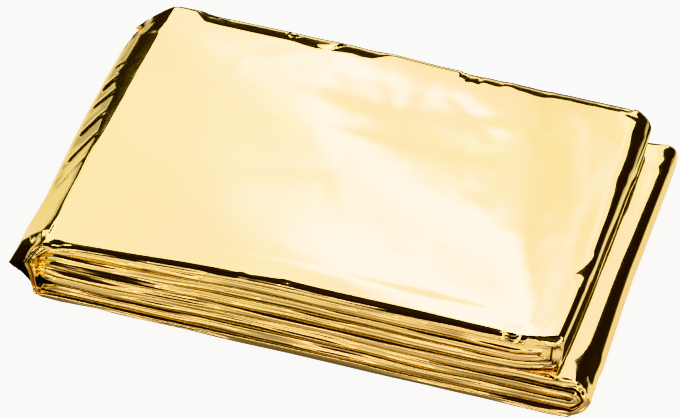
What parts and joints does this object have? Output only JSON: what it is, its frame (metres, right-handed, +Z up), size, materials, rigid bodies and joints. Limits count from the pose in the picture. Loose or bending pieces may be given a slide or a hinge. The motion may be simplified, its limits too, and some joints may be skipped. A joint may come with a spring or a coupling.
{
  "type": "folded emergency foil blanket",
  "caption": "Gold metallised film blanket folded flat into a soft rectangular packet, with rounded fold ends and a stepped right edge.",
  "frame": {"origin": "middle of the bounding box at the underside, on the surface the packet lies on", "axes": "+X along the packet's length, from the wrapped end to the stepped end; +Y from the front folds to the back folds; +Z up out of the broad face"},
  "size_m": [0.1468, 0.0974, 0.021],
  "materials": {
    "gold_film": "mirror-bright gold lacquer over aluminised polyester film, softly creased"
  },
  "bodies": {
    "root": {"foil_sheet": "gold_film"}
  },
  "joints": []
}
